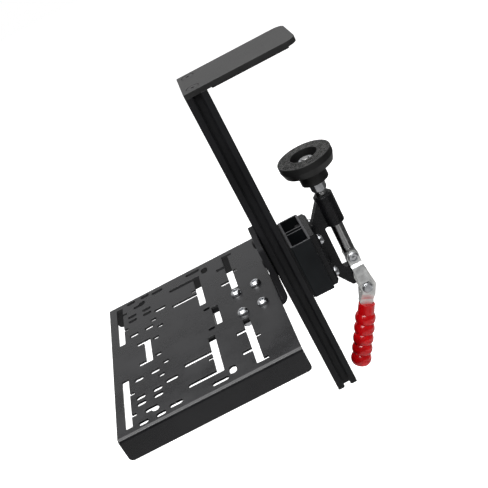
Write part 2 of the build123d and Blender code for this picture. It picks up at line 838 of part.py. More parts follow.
with BuildPart() as foot_jam_nut:
    with Locations((axis_x, 0, neck_bottom - jam_nut_h)):
        add(hex_nut(nut_af, jam_nut_h, stud_d))
foot_jam_nut.part.label = "foot_jam_nut"
export_step(foot_jam_nut.part, "parts/foot_jam_nut.step")

with BuildPart() as foot_top_nut:
    with Locations((axis_x, 0, recess_floor)):
        add(hex_nut(nut_af, top_nut_h, stud_d))
foot_top_nut.part.label = "foot_top_nut"
export_step(foot_top_nut.part, "parts/foot_top_nut.step")

# rubber foot: round pad with a dished middle and a neck
with BuildPart() as foot_pad:
    with BuildSketch(Plane.XZ):
        with BuildLine():
            Polyline(
                (axis_x + stud_d / 2 + fit, neck_bottom),
                (axis_x + neck_d / 2, neck_bottom),
                (axis_x + neck_d / 2, foot_bottom),
                (axis_x + foot_d / 2 - foot_draft, foot_bottom),
                (axis_x + foot_d / 2, foot_top - foot_t / 2),
                (axis_x + foot_d / 2, foot_top),
                (axis_x + foot_recess_d / 2, foot_top),
                (axis_x + foot_recess_d / 2 - recess_draft, recess_floor),
                (axis_x + stud_d / 2 + fit, recess_floor),
                close=True,
            )
        foot_face = make_face()
        rim = foot_face.vertices().group_by(Axis.X)[-1]
        fillet(rim.sort_by(Axis.Y)[-1], foot_edge)
        skirt = foot_face.vertices().sort_by_distance((axis_x + foot_d / 2 - foot_draft, foot_bottom))
        fillet(skirt[0], foot_round)
        heel = foot_face.vertices().sort_by_distance((axis_x + neck_d / 2, neck_bottom))
        fillet(heel[0], foot_round)
    revolve(axis=Axis((axis_x, 0, 0), (0, 0, 1)))
foot_pad.part.label = "foot_pad"
export_step(foot_pad.part, "parts/foot_pad.step")

# Handle and grip
# the lever is forked over the tail; beyond the link pin its two cheeks close to one
# flat tang, and its centre line runs to the right of the pin
handle_plane = Plane((axis_x, 0, link_pin_z), x_dir=(0, 1, 0), z_dir=(lean_x, 0, lean_z))
lever_side = Plane((axis_x, 0, link_pin_z), x_dir=(0, 1, 0), z_dir=(-lean_z, 0, lean_x))
corner_at = (axis_x + lever_corner_x, link_pin_z - lever_corner_z)
with BuildPart() as handle_lever:
    with BuildSketch(Plane.XZ):
        with Locations((axis_x, pivot_z)):
            Circle(lever_top_r)
        with Locations((axis_x, link_pin_z)):
            Circle(lever_pin_r)
        with Locations(corner_at):
            Circle(lever_corner_r)
        make_hull()
    extrude(amount=fork_out, both=True)
    with BuildSketch(Plane.XZ):
        with Locations(corner_at):
            Circle(lever_corner_r)
        with Locations((axis_x, link_pin_z)):
            Circle(lever_w / 2 - lever_shift)
        with Locations([
            (axis_x + lever_end * lean_x - side * lean_z, link_pin_z + lever_end * lean_z + side * lean_x)
            for side in (lever_shift - lever_w / 2 + lever_edge, lever_shift + lever_w / 2 - lever_edge)
        ]):
            Circle(lever_edge)
        make_hull()
    extrude(amount=fork_out, both=True)
    with BuildSketch(handle_plane.offset(fork_crotch)):
        with Locations((0, lever_shift)):
            Rectangle(tang_t, tang_w)
    extrude(amount=grip_start + tang_len - fork_crotch)
    # seen edge on: cheeks, shoulders and tang
    with BuildSketch(lever_side):
        with BuildLine():
            Polyline(
                (-fork_out, lever_reach),
                (-fork_out, -fork_shoulder),
                (-tang_t / 2, -fork_taper),
                (-tang_t / 2, -grip_start - tang_len),
                (tang_t / 2, -grip_start - tang_len),
                (tang_t / 2, -fork_taper),
                (fork_out, -fork_shoulder),
                (fork_out, lever_reach),
                (fork_in, lever_reach),
                (fork_in, -fork_crotch),
                (0, -fork_merge),
                (-fork_in, -fork_crotch),
                (-fork_in, lever_reach),
                close=True,
            )
        make_face()
    extrude(amount=lever_reach, both=True, mode=Mode.INTERSECT)
    with Locations(Plane((axis_x, 0, pivot_z), z_dir=(0, -1, 0))):
        Hole(pin_d / 2 + fit)
    with Locations(Plane((axis_x, 0, link_pin_z), z_dir=(0, -1, 0))):
        Hole(pin_d / 2 + fit)
handle_lever.part.label = "handle_lever"
export_step(handle_lever.part, "parts/handle_lever.step")

# grip: a collar, then a row of round beads and a domed end
grip_len = grip_collar_len + grip_bulges * grip_bulge_pitch + grip_tip
cap_r = (grip_waist_d**2 / 4 + grip_tip**2) / (2 * grip_tip)
cap_half = math.asin(grip_waist_d / 2 / cap_r) / 2
with BuildPart() as handle_grip:
    with BuildSketch(Plane.XZ):
        with BuildLine():
            collar = Polyline(
                (0, 0),
                (grip_collar_d / 2 - grip_rim, 0),
                (grip_collar_d / 2, grip_rim),
                (grip_waist_d / 2, grip_collar_len),
            )
            for k in range(grip_bulges):
                bead_z = grip_collar_len + k * grip_bulge_pitch
                wave = ThreePointArc(
                    (grip_waist_d / 2, bead_z),
                    (grip_bulge_d / 2, bead_z + grip_bulge_pitch / 2),
                    (grip_waist_d / 2, bead_z + grip_bulge_pitch),
                )
            cap = ThreePointArc(
                wave @ 1,
                (cap_r * math.sin(cap_half), grip_len - cap_r * (1 - math.cos(cap_half))),
                (0, grip_len),
            )
            Line(cap @ 1, (0, 0))
        make_face()
    revolve(axis=Axis.Z)
    with BuildSketch(Plane.XY):
        with Locations((0, lever_shift - grip_shift)):
            Rectangle(tang_t + 2 * fit, tang_w + 2 * fit)
    extrude(amount=tang_len + side_gap, mode=Mode.SUBTRACT)
grip_place = handle_plane.location * Location((0, grip_shift, grip_start))
handle_grip.part.label = "handle_grip"
export_step(handle_grip.part.moved(grip_place), "parts/handle_grip.step")
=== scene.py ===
import math

import bmesh
import bpy
from mathutils import Matrix, Vector


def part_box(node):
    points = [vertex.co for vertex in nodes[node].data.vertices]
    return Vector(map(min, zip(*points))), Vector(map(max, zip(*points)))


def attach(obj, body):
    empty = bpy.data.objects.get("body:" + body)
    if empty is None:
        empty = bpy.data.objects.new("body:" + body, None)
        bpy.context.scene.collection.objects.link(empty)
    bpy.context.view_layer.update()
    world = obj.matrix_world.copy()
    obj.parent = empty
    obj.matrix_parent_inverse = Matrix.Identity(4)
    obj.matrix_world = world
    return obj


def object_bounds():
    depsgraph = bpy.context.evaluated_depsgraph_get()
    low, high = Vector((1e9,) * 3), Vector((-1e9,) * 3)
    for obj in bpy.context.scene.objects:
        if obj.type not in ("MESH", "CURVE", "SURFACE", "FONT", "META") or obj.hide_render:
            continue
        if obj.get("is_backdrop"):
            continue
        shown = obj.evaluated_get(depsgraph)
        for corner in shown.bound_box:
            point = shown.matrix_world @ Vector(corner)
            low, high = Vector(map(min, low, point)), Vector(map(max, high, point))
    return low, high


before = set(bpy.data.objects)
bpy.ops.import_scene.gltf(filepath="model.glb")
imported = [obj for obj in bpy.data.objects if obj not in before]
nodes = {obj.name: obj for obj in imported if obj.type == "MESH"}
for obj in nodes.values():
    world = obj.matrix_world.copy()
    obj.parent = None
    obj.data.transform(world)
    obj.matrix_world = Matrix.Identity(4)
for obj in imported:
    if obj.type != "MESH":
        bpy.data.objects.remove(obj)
cad_low, cad_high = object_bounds()

MM = 0.001

# a noise texture's values lie mostly between these two
NOISE_LOW = 0.3
NOISE_HIGH = 0.7

# a Mix node has sockets for each kind of data, and these are the ones for colours
MIX_FIRST = 6
MIX_SECOND = 7
MIX_RESULT = 2

BEVEL_SAMPLES = 6


# Node helpers
def new_material(name):
    """Material with a bare Principled shader; returns the material, its tree and the shader."""
    mat = bpy.data.materials.new(name)
    mat.use_nodes = True
    tree = mat.node_tree
    tree.nodes.clear()
    out = tree.nodes.new("ShaderNodeOutputMaterial")
    shader = tree.nodes.new("ShaderNodeBsdfPrincipled")
    tree.links.new(shader.outputs["BSDF"], out.inputs["Surface"])
    return mat, tree, shader


def object_coords(tree, stretch=(1, 1, 1)):
    """Coordinates fixed to the piece, in metres, stretched to draw out a grain."""
    coords = tree.nodes.new("ShaderNodeTexCoord")
    mapping = tree.nodes.new("ShaderNodeMapping")
    mapping.inputs["Scale"].default_value = stretch
    tree.links.new(coords.outputs["Object"], mapping.inputs["Vector"])
    return mapping.outputs["Vector"]


def noise(tree, vector, size, detail=3.0, rough=0.5):
    """Noise whose features are about size metres across."""
    tex = tree.nodes.new("ShaderNodeTexNoise")
    tex.inputs["Scale"].default_value = 1 / size
    tex.inputs["Detail"].default_value = detail
    tex.inputs["Roughness"].default_value = rough
    tree.links.new(vector, tex.inputs["Vector"])
    return tex.outputs["Fac"]


def spread(tree, value, low, high, start=NOISE_LOW, end=NOISE_HIGH):
    """Maps a value from start..end to low..high and holds it there beyond both ends."""
    node = tree.nodes.new("ShaderNodeMapRange")
    node.inputs["From Min"].default_value = start
    node.inputs["From Max"].default_value = end
    node.inputs["To Min"].default_value = low
    node.inputs["To Max"].default_value = high
    tree.links.new(value, node.inputs["Value"])
    return node.outputs["Result"]


def blend_colors(tree, factor, first, second):
    """Mixes two colours, each a tuple or a socket."""
    node = tree.nodes.new("ShaderNodeMix")
    node.data_type = "RGBA"
    tree.links.new(factor, node.inputs["Factor"])
    for index, color in ((MIX_FIRST, first), (MIX_SECOND, second)):
        if isinstance(color, tuple):
            node.inputs[index].default_value = (*color, 1)
        else:
            tree.links.new(color, node.inputs[index])
    return node.outputs[MIX_RESULT]


def combine(tree, operation, first, second):
    """Math of two sockets, or of a socket and a number; a product is held between 0 and 1."""
    node = tree.nodes.new("ShaderNodeMath")
    node.operation = operation
    node.use_clamp = operation == "MULTIPLY"
    for socket, value in zip(node.inputs, (first, second)):
        if isinstance(value, (int, float)):
            socket.default_value = value
        else:
            tree.links.new(value, socket)
    return node.outputs[0]


def rounded(tree, radius):
    """Normal softened over the edges, as a real edge is."""
    node = tree.nodes.new("ShaderNodeBevel")
    node.samples = BEVEL_SAMPLES
    node.inputs["Radius"].default_value = radius
    return node.outputs["Normal"]


def edge_mask(tree, radius):
    """1 on worn edges, 0 on flat faces, by how far the softened normal turns from the true one."""
    slight_turn, full_turn = 0.02, 0.35
    soft = rounded(tree, radius)
    geometry = tree.nodes.new("ShaderNodeNewGeometry")
    dot = tree.nodes.new("ShaderNodeVectorMath")
    dot.operation = "DOT_PRODUCT"
    tree.links.new(soft, dot.inputs[0])
    tree.links.new(geometry.outputs["Normal"], dot.inputs[1])
    bend = combine(tree, "SUBTRACT", 1.0, dot.outputs["Value"])
    return spread(tree, bend, 0, 1, slight_turn, full_turn)


def bump(tree, height, normal, depth):
    """Bump of a height 0..1 that stands depth metres high, on a normal where one is given."""
    node = tree.nodes.new("ShaderNodeBump")
    node.inputs["Distance"].default_value = depth
    node.inputs["Strength"].default_value = 1
    tree.links.new(height, node.inputs["Height"])
    if normal is not None:
        tree.links.new(normal, node.inputs["Normal"])
    return node.outputs["Normal"]


def facing_up(tree):
    """1 where the surface faces straight up in the piece's own frame, -1 where it faces down."""
    coords = tree.nodes.new("ShaderNodeTexCoord")
    split = tree.nodes.new("ShaderNodeSeparateXYZ")
    tree.links.new(coords.outputs["Normal"], split.inputs["Vector"])
    return split.outputs["Z"]


def distance_from(tree, centre):
    """Distance from a vertical line through centre, in metres."""
    coords = tree.nodes.new("ShaderNodeTexCoord")
    shift = tree.nodes.new("ShaderNodeVectorMath")
    shift.operation = "SUBTRACT"
    shift.inputs[1].default_value = (centre.x, centre.y, 0)
    tree.links.new(coords.outputs["Object"], shift.inputs[0])
    split = tree.nodes.new("ShaderNodeSeparateXYZ")
    tree.links.new(shift.outputs["Vector"], split.inputs["Vector"])
    squares = []
    for axis in ("X", "Y"):
        size = combine(tree, "ABSOLUTE", split.outputs[axis], 0)
        squares.append(combine(tree, "POWER", size, 2))
    return combine(tree, "SQRT", combine(tree, "ADD", *squares), 0)


def band(tree, value, low, high, soft):
    """1 where a value lies between low and high, with soft ends."""
    rise = spread(tree, value, 0, 1, low - soft, low + soft)
    fall = spread(tree, value, 1, 0, high - soft, high + soft)
    return combine(tree, "MULTIPLY", rise, fall)


# Materials
def powder_coat(name, color, rough, level, wear, sunk=()):
    """Fine-textured black powder coat, lighter on its edges; sunk lists countersink rims, each
    painted near-black as a painted shade for the gap around the sunk screw head, and bumped down.
    """
    cloud_size, grain_size, patch_size = 30 * MM, 0.35 * MM, 6 * MM
    edge_radius, grain_depth = 0.5 * MM, 0.006 * MM
    rim_soft, rim_depth, rim_shade_strength = 0.4 * MM, 1.4 * MM, 0.95
    mat, tree, shader = new_material(name)
    where = object_coords(tree)
    cloud = noise(tree, where, cloud_size, 4)
    fine = noise(tree, where, grain_size, 2)
    lighter = tuple(c * 1.35 + 0.004 for c in color)
    tone = blend_colors(tree, spread(tree, cloud, 0, 1), color, lighter)
    rubbed = combine(tree, "MULTIPLY", edge_mask(tree, edge_radius), wear)
    patches = spread(tree, noise(tree, where, patch_size), 0.3, 1)
    patchy = combine(tree, "MULTIPLY", rubbed, patches)
    tone = blend_colors(tree, patchy, tone, tuple(c * 4 + 0.05 for c in color))
    normal = bump(tree, fine, rounded(tree, edge_radius), grain_depth)
    # painted shade: each countersink rim is darkened to near-black where the gap around the sunk head
    # would lie in shadow
    for centre, inner, outer in sunk:
        rim = band(tree, distance_from(tree, centre), inner, outer, rim_soft)
        painted_rim_shade = combine(tree, "MULTIPLY", rim, rim_shade_strength)
        tone = blend_colors(tree, painted_rim_shade, tone, (0.001, 0.001, 0.001))
        normal = bump(tree, combine(tree, "SUBTRACT", 1.0, rim), normal, rim_depth)
    tree.links.new(tone, shader.inputs["Base Color"])
    cloud_rough = spread(tree, cloud, -0.05, 0.05)
    grain_rough = spread(tree, fine, rough - 0.04, rough + 0.04)
    tree.links.new(combine(tree, "ADD", cloud_rough, grain_rough), shader.inputs["Roughness"])
    shader.inputs["Specular IOR Level"].default_value = level
    tree.links.new(normal, shader.inputs["Normal"])
    return mat


def anodised(name, color, cut, level):
    """Black anodised extrusion, drawn along its length; cut is the colour of its sawn ends."""
    line_size, line_depth, rough = 0.35 * MM, 0.012 * MM, 0.46
    cloud_size, saw_size = 40 * MM, 0.5 * MM
    wear_radius, edge_radius, wear = 0.35 * MM, 0.4 * MM, 0.3
    flat_start, flat_full = 0.9, 0.98
    mat, tree, shader = new_material(name)
    lines = noise(tree, object_coords(tree, (1, 1, 0.015)), line_size, 3, 0.6)
    cloud = noise(tree, object_coords(tree), cloud_size, 3)
    lighter = tuple(c * 1.5 + 0.002 for c in color)
    tone = blend_colors(tree, spread(tree, cloud, 0, 1), color, lighter)
    worn = combine(tree, "MULTIPLY", edge_mask(tree, wear_radius), wear)
    tone = blend_colors(tree, worn, tone, (0.16, 0.16, 0.165))
    saw = noise(tree, object_coords(tree, (1, 0.05, 1)), saw_size, 3)
    sawn = blend_colors(tree, spread(tree, saw, 0, 1), cut, tuple(c * 1.25 for c in cut))
    flat = combine(tree, "ABSOLUTE", facing_up(tree), 0)
    ends = spread(tree, flat, 0, 1, flat_start, flat_full)
    tree.links.new(blend_colors(tree, ends, tone, sawn), shader.inputs["Base Color"])
    tree.links.new(spread(tree, lines, rough - 0.06, rough + 0.08), shader.inputs["Roughness"])
    shader.inputs["Specular IOR Level"].default_value = level
    normal = bump(tree, lines, rounded(tree, edge_radius), line_depth)
    tree.links.new(normal, shader.inputs["Normal"])
    return mat


def plated(name, color, rough, stretch=(1, 1, 1), patch=5 * MM, dulled=0.72):
    """Plated steel: mottled in patches, the dull ones darker, with light handling marks."""
    mark_size, mark_depth, edge_radius = 0.6 * MM, 0.01 * MM, 0.35 * MM
    mat, tree, shader = new_material(name)
    mottle = noise(tree, object_coords(tree), patch, 5, 0.6)
    marks = noise(tree, object_coords(tree, stretch), mark_size, 4, 0.65)
    dull = tuple(c * dulled for c in color)
    tone = blend_colors(tree, spread(tree, mottle, 0, 1, 0.35, 0.65), dull, color)
    grime = combine(tree, "MULTIPLY", spread(tree, marks, 0, 1, 0.55, 0.75), 0.35)
    tree.links.new(blend_colors(tree, grime, tone, (0.3, 0.3, 0.3)), shader.inputs["Base Color"])
    shader.inputs["Metallic"].default_value = 1.0
    mottle_rough = spread(tree, mottle, -0.05, 0.08)
    mark_rough = spread(tree, marks, rough - 0.05, rough + 0.08)
    tree.links.new(combine(tree, "ADD", mottle_rough, mark_rough), shader.inputs["Roughness"])
    normal = bump(tree, marks, rounded(tree, edge_radius), mark_depth)
    tree.links.new(normal, shader.inputs["Normal"])
    return mat


def black_oxide(name):
    """Blackened screw steel, oily and a bit worn on its edges."""
    mottle_size, fine_size, fine_depth, edge_radius = 3 * MM, 0.3 * MM, 0.01 * MM, 0.25 * MM
    mat, tree, shader = new_material(name)
    where = object_coords(tree)
    mottle = noise(tree, where, mottle_size, 4)
    oily, dry = (0.018, 0.018, 0.02), (0.035, 0.034, 0.034)
    tone = blend_colors(tree, spread(tree, mottle, 0, 1), oily, dry)
    worn = combine(tree, "MULTIPLY", edge_mask(tree, edge_radius), 0.4)
    tree.links.new(blend_colors(tree, worn, tone, (0.25, 0.25, 0.26)), shader.inputs["Base Color"])
    shader.inputs["Metallic"].default_value = 0.7
    tree.links.new(spread(tree, mottle, 0.28, 0.45), shader.inputs["Roughness"])
    fine = noise(tree, where, fine_size, 3)
    normal = bump(tree, fine, rounded(tree, edge_radius), fine_depth)
    tree.links.new(normal, shader.inputs["Normal"])
    return mat


def casting(name):
    """Painted casting: orange-peel paint over a sand-cast skin, with bright rubbed edges."""
    skin_size, skin_depth, cloud_size, patch_size = 1.6 * MM, 0.22 * MM, 14 * MM, 4 * MM
    wear_radius, edge_radius = 0.6 * MM, 0.8 * MM
    mat, tree, shader = new_material(name)
    where = object_coords(tree)
    skin = noise(tree, where, skin_size, 4, 0.55)
    cloud = noise(tree, where, cloud_size, 3)
    dark, lighter = (0.003, 0.003, 0.0035), (0.007, 0.007, 0.008)
    tone = blend_colors(tree, spread(tree, cloud, 0, 1), dark, lighter)
    worn = combine(tree, "MULTIPLY", edge_mask(tree, wear_radius), 0.55)
    patches = spread(tree, noise(tree, where, patch_size), 0.25, 1)
    worn = combine(tree, "MULTIPLY", worn, patches)
    tree.links.new(blend_colors(tree, worn, tone, (0.22, 0.22, 0.22)), shader.inputs["Base Color"])
    shader.inputs["Specular IOR Level"].default_value = 0.25
    tree.links.new(spread(tree, skin, 0.18, 0.32), shader.inputs["Roughness"])
    normal = bump(tree, skin, rounded(tree, edge_radius), skin_depth)
    tree.links.new(normal, shader.inputs["Normal"])
    return mat


def rubber(name, color, rough, level, lit_top_color=None):
    """Moulded rubber; the top colour is painted in specks on faces that point up, a painted highlight
    where light falls on them.
    """
    grain_size, grain_depth = 0.5 * MM, 0.03 * MM
    cloud_size, speck_size = 12 * MM, 2.2 * MM
    wear_radius, edge_radius = 0.7 * MM, 0.6 * MM
    flat_start, flat_full = 0.4, 0.9
    mat, tree, shader = new_material(name)
    where = object_coords(tree)
    cloud = noise(tree, where, cloud_size, 4)
    fine = noise(tree, where, grain_size, 3, 0.6)
    tone = blend_colors(tree, spread(tree, cloud, 0, 1), color, tuple(c * 1.5 for c in color))
    dusty = combine(tree, "MULTIPLY", edge_mask(tree, wear_radius), 0.35)
    tone = blend_colors(tree, dusty, tone, tuple(c * 3 for c in color))
    # painted highlight: faces that point up are dappled with a lighter colour, as if lit from above
    if lit_top_color:
        specks = noise(tree, where, speck_size, 3, 0.8)
        lit_specks = blend_colors(tree, spread(tree, specks, 0, 1, 0.42, 0.58), color, lit_top_color)
        upper = spread(tree, facing_up(tree), 0, 1, flat_start, flat_full)
        tone = blend_colors(tree, upper, tone, lit_specks)
    tree.links.new(tone, shader.inputs["Base Color"])
    tree.links.new(spread(tree, fine, rough - 0.06, rough + 0.08), shader.inputs["Roughness"])
    shader.inputs["Specular IOR Level"].default_value = level
    normal = bump(tree, fine, rounded(tree, edge_radius), grain_depth)
    tree.links.new(normal, shader.inputs["Normal"])
    return mat


def dipped_vinyl(name):
    """Glossy red dipped grip with a slightly uneven skin."""
    cloud_size, gloss_size, lump_size, lump_depth = 9 * MM, 4 * MM, 2.5 * MM, 0.08 * MM
    mat, tree, shader = new_material(name)
    where = object_coords(tree)
    cloud = noise(tree, where, cloud_size, 3)
    deep_red, bright_red = (0.46, 0.001, 0.003), (0.66, 0.004, 0.007)
    tone = blend_colors(tree, spread(tree, cloud, 0, 1), deep_red, bright_red)
    tree.links.new(tone, shader.inputs["Base Color"])
    gloss = noise(tree, where, gloss_size, 4)
    tree.links.new(spread(tree, gloss, 0.12, 0.24), shader.inputs["Roughness"])
    shader.inputs["Specular IOR Level"].default_value = 0.45
    lumps = noise(tree, where, lump_size, 3)
    tree.links.new(bump(tree, lumps, None, lump_depth), shader.inputs["Normal"])
    return mat


# the countersinks of the arm's two screws, each a centre with an inner and an outer radius; on the
# arm's coat each rim gets a painted shade
RIM_INNER = 4.6 * MM
RIM_OUTER = 6.0 * MM
arm_shaded_rims = []
for screw in ("arm_screw_front", "arm_screw_back"):
    low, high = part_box(screw)
    arm_shaded_rims.append(((low + high) / 2, RIM_INNER, RIM_OUTER))

extrusion = anodised(
    "extrusion_black", (0.005, 0.005, 0.006), cut=(0.12, 0.12, 0.125), level=0.26
)
block_finish = anodised(
    "block_black", (0.006, 0.007, 0.008), cut=(0.07, 0.07, 0.074), level=0.14
)
arm_finish = powder_coat(
    "arm_powder_coat", (0.014, 0.014, 0.014), rough=0.40, level=0.24, wear=0.2, sunk=arm_shaded_rims
)
plate_finish = powder_coat(
    "plate_powder_coat", (0.004, 0.004, 0.005), rough=0.30, level=0.42, wear=0.2
)
bracket_finish = powder_coat(
    "bracket_powder_coat", (0.009, 0.009, 0.010), rough=0.55, level=0.10, wear=0.25
)
cast_finish = casting("clamp_casting_paint")

zinc = plated("zinc_plate", (0.62, 0.63, 0.65), rough=0.3)
screw_finish = plated("zinc_screw", (0.66, 0.67, 0.69), rough=0.24)
rod_finish = plated("rod_steel", (0.34, 0.34, 0.34), rough=0.16, stretch=(1, 1, 0.05))
STRAP_GRAIN = (0.2, 1, 1)
STRAP_PATCH = 8 * MM
zinc_strap = plated(
    "zinc_strap", (0.90, 0.91, 0.90), rough=0.44, stretch=STRAP_GRAIN, patch=STRAP_PATCH, dulled=0.6
)
lever_strap = plated(
    "lever_strap", (0.98, 0.98, 0.96), rough=0.52, stretch=STRAP_GRAIN, patch=STRAP_PATCH, dulled=0.86
)
black_screw = black_oxide("black_screw_steel")

pad_finish = rubber("pad_rubber_black", (0.012, 0.012, 0.012), rough=0.62, level=0.2)
# the foot and its tread take lighter specks on faces that point up, a painted highlight
foot_finish = rubber(
    "foot_rubber_black", (0.006, 0.006, 0.006), rough=0.42, level=0.35, lit_top_color=(0.05, 0.05, 0.05)
)
tread_finish = rubber(
    "foot_tread_rubber", (0.008, 0.008, 0.008), rough=0.5, level=0.1, lit_top_color=(0.15, 0.15, 0.145)
)
grip_finish = dipped_vinyl("grip_vinyl_red")

FINISH = {
    "upright": extrusion,
    "top_arm": arm_finish,
    "arm_pad": pad_finish,
    "arm_screw_front": black_screw,
    "arm_screw_back": black_screw,
    "shifter_plate": plate_finish,
    "plate_bracket": bracket_finish,
    "plate_screws": screw_finish,
    "plate_nuts": zinc,
    "bracket_bolts": black_screw,
    "bracket_t_nuts": zinc,
    "clamp_block": block_finish,
    "block_spacer": pad_finish,
    "block_bolts": black_screw,
    "block_t_nuts": zinc,
    "clamp_body": cast_finish,
    "base_screws": screw_finish,
    "base_nuts": black_screw,
    "fixed_pin": zinc,
    "plunger_rod": rod_finish,
    "foot_pad": foot_finish,
    "foot_jam_nut": zinc,
    "foot_top_nut": zinc,
    "handle_lever": lever_strap,
    "handle_grip": grip_finish,
    "link_pin": zinc,
    "link_plates": zinc_strap,
    "link_rivets": zinc,
}
for name, finish in FINISH.items():
    mesh = nodes[name].data
    mesh.materials.clear()
    mesh.materials.append(finish)


# Added pieces
def add_piece(name, build, body, finish):
    """Makes a piece of the bmesh that has been built, riding on a body."""
    mesh = bpy.data.meshes.new(name)
    build.to_mesh(mesh)
    build.free()
    mesh.materials.append(finish)
    piece = bpy.data.objects.new(name, mesh)
    bpy.context.scene.collection.objects.link(piece)
    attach(piece, body)


def bridge(build, lower, upper):
    """Faces from one ring of points to the next, which may be a single tip."""
    for step in range(len(lower)):
        after = (step + 1) % len(lower)
        if len(upper) == 1:
            build.faces.new((lower[step], lower[after], upper[0]))
        else:
            build.faces.new((lower[step], lower[after], upper[after], upper[step]))


def turned_end(name, profile, centre, axis, body, finish):
    """Closed turned end; profile has (radius, height) in millimetres, up to a tip on the axis."""
    sides = 40
    turn = Vector(axis).to_track_quat("Z", "Y").to_matrix()
    build = bmesh.new()
    rings = []
    for radius, height in profile:
        radius, height = radius * MM, height * MM
        ring = []
        for step in range(sides if radius else 1):
            angle = 2 * math.pi * step / sides
            spot = Vector((radius * math.cos(angle), radius * math.sin(angle), height))
            ring.append(build.verts.new(Vector(centre) + turn @ spot))
        rings.append(ring)
    foot = build.faces.new(list(reversed(rings[0])))
    for lower, upper in zip(rings, rings[1:]):
        bridge(build, lower, upper)
    bmesh.ops.recalc_face_normals(build, faces=build.faces)
    for face in build.faces:
        face.smooth = True
    foot.smooth = False
    add_piece(name, build, body, finish)


# the rivets' peened ends: a raised rim, a groove and a small button
PEENED = [
    (4.5, -0.1),
    (4.5, 0.1),
    (4.2, 0.38),
    (3.4, 0.42),
    (2.9, 0.2),
    (2.6, 0.08),
    (1.7, 0.08),
    (1.3, 0.3),
    (0, 0.42),
]
# the pins' rolled ends: a shallow dome on a low step
DOMED = [
    (4.0, -0.1),
    (4.0, 0.14),
    (3.7, 0.22),
    (3.1, 0.26),
    (2.2, 0.42),
    (1.2, 0.5),
    (0, 0.53),
]
for node, outline, body in (
    ("link_rivets", PEENED, "link"),
    ("link_pin", DOMED, "handle"),
    ("fixed_pin", DOMED, "clamp_carriage"),
):
    low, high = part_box(node)
    middle_x, middle_z = (low.x + high.x) / 2, (low.z + high.z) / 2
    for side, y, way in (("front", low.y, -1), ("back", high.y, 1)):
        centre = (middle_x, y, middle_z)
        turned_end(f"{node}_{side}", outline, centre, (0, way, 0), body, zinc)


def studded_ring(name, node, inner, outer, pitch, body, finish):
    """Rings of small round studs on the upper face of a round node, from inner to outer radius."""
    sides = 7
    # half width as a share of the pitch, with the height in millimetres
    stud = ((0.40, -0.05), (0.36, 0.16), (0.22, 0.26))
    unevenness, uneven_step = 0.12, 2.4
    low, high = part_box(node)
    middle_x, middle_y = (low.x + high.x) / 2, (low.y + high.y) / 2
    build = bmesh.new()
    rows = round((outer - inner) / pitch) + 1
    for row in range(rows):
        radius = inner + (outer - inner) * row / (rows - 1)
        count = round(2 * math.pi * radius / pitch)
        for step in range(count):
            angle = 2 * math.pi * (step + row / 2) / count
            wobble = unevenness * math.sin(step * uneven_step + row)
            x = middle_x + (radius + wobble * pitch) * math.cos(angle)
            y = middle_y + (radius + wobble * pitch) * math.sin(angle)
            rings = []
            for across, up in stud:
                reach = across * pitch * (1 + wobble)
                ring = []
                for corner in range(sides):
                    bend = 2 * math.pi * corner / sides
                    side, depth = reach * math.cos(bend), reach * math.sin(bend)
                    ring.append(build.verts.new((x + side, y + depth, high.z + up * MM)))
                rings.append(ring)
            for lower, upper in zip(rings, rings[1:]):
                bridge(build, lower, upper)
            build.faces.new(list(reversed(rings[0])))
            build.faces.new(rings[-1])
    for face in build.faces:
        face.smooth = True
    add_piece(name, build, body, finish)


studded_ring(
    "foot_tread", "foot_pad", 14.4 * MM, 24.2 * MM, 1.5 * MM, "plunger", tread_finish
)


def gasket(name, low, high, corner, body, finish):
    """Thin sheet across x with rounded corners, which fills the box from low to high."""
    corner_step = 15
    build = bmesh.new()
    outline = []
    for y, z, start in (
        (high.y - corner, high.z - corner, 0),
        (low.y + corner, high.z - corner, 90),
        (low.y + corner, low.z + corner, 180),
        (high.y - corner, low.z + corner, 270),
    ):
        for turn in range(0, 90 + corner_step, corner_step):
            angle = math.radians(start + turn)
            outline.append((y + corner * math.cos(angle), z + corner * math.sin(angle)))
    near = [build.verts.new((low.x, y, z)) for y, z in outline]
    far = [build.verts.new((high.x, y, z)) for y, z in outline]
    build.faces.new(near)
    build.faces.new(far)
    bridge(build, near, far)
    bmesh.ops.recalc_face_normals(build, faces=build.faces)
    add_piece(name, build, body, finish)


# the spacer's soft lip, which closes the thin slit between the block's spacer and the upright
SLIT_LEFT = 0.03 * MM
LIP_ROOT = 0.05 * MM
LIP_INSET = 0.3 * MM
spacer_low, spacer_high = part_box("block_spacer")
upright_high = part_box("upright")[1]
lip_low = Vector((upright_high.x + SLIT_LEFT, spacer_low.y + LIP_INSET, spacer_low.z + LIP_INSET))
lip_high = Vector((spacer_low.x + LIP_ROOT, spacer_high.y - LIP_INSET, spacer_high.z - LIP_INSET))
gasket("spacer_lip", lip_low, lip_high, 1.5 * MM, "clamp_carriage", pad_finish)

# Studio
FLOOR_Z = -0.62
FLOOR_REACH = 6
FLOOR_GREY = (0.8, 0.8, 0.8)


def reflected(tree, path):
    """1 for the rays that a glossy or clear surface sends on."""
    glossy, clear = path.outputs["Is Glossy Ray"], path.outputs["Is Transmission Ray"]
    return combine(tree, "MAXIMUM", glossy, clear)


